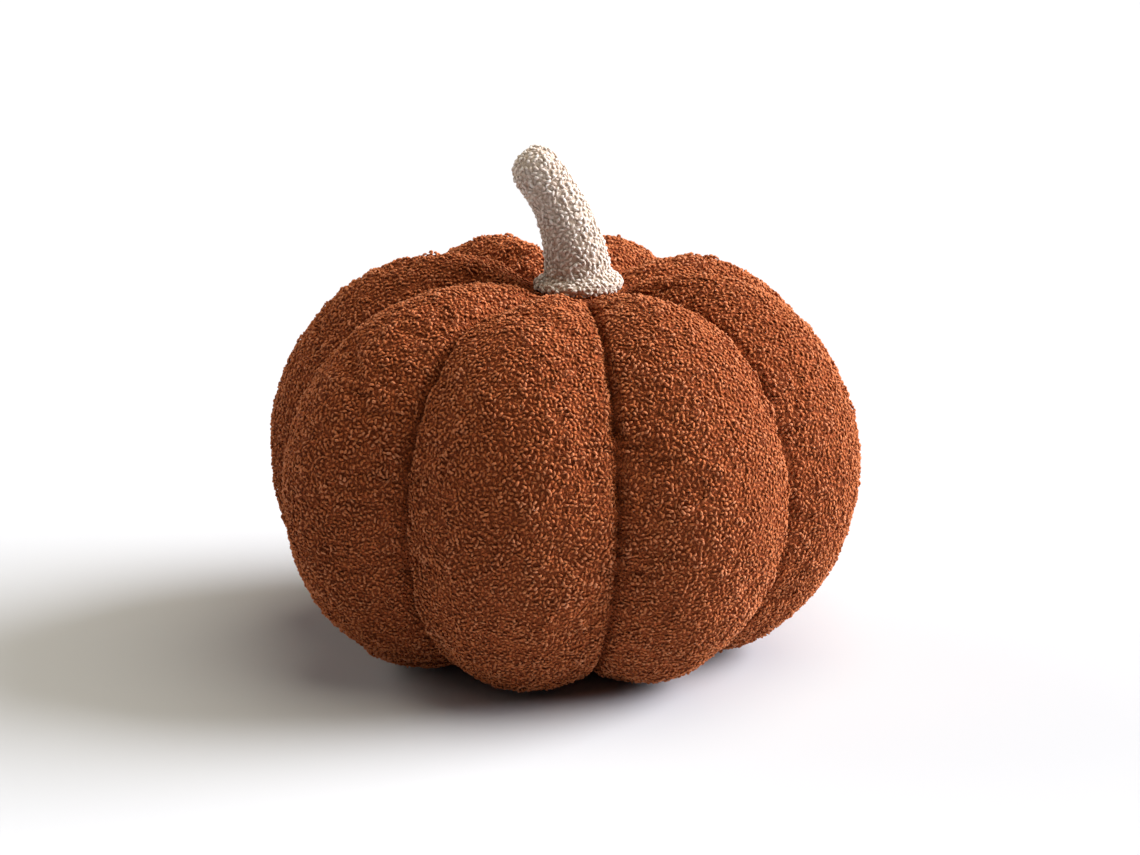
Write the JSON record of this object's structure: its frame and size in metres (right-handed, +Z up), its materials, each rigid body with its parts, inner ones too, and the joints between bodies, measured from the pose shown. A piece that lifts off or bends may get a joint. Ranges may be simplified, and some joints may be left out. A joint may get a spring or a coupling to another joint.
{
  "type": "pumpkin cushion",
  "caption": "Squat stuffed cushion shaped like a pumpkin, with sewn channels down its round sides and a short leaning soft stem on top.",
  "frame": {"origin": "centre of the whole part's bounding box in plan, at the underside it rests on", "axes": "+Z up through the stem's foot, -Y towards the side the picture shows"},
  "size_m": [0.348, 0.3442, 0.2969],
  "materials": {
    "body_pile": "rust-orange curly pile cloth",
    "stem_pile": "pale grey-beige curly pile cloth"
  },
  "bodies": {
    "root": {"body": "body_pile", "stem": "stem_pile"}
  },
  "joints": []
}
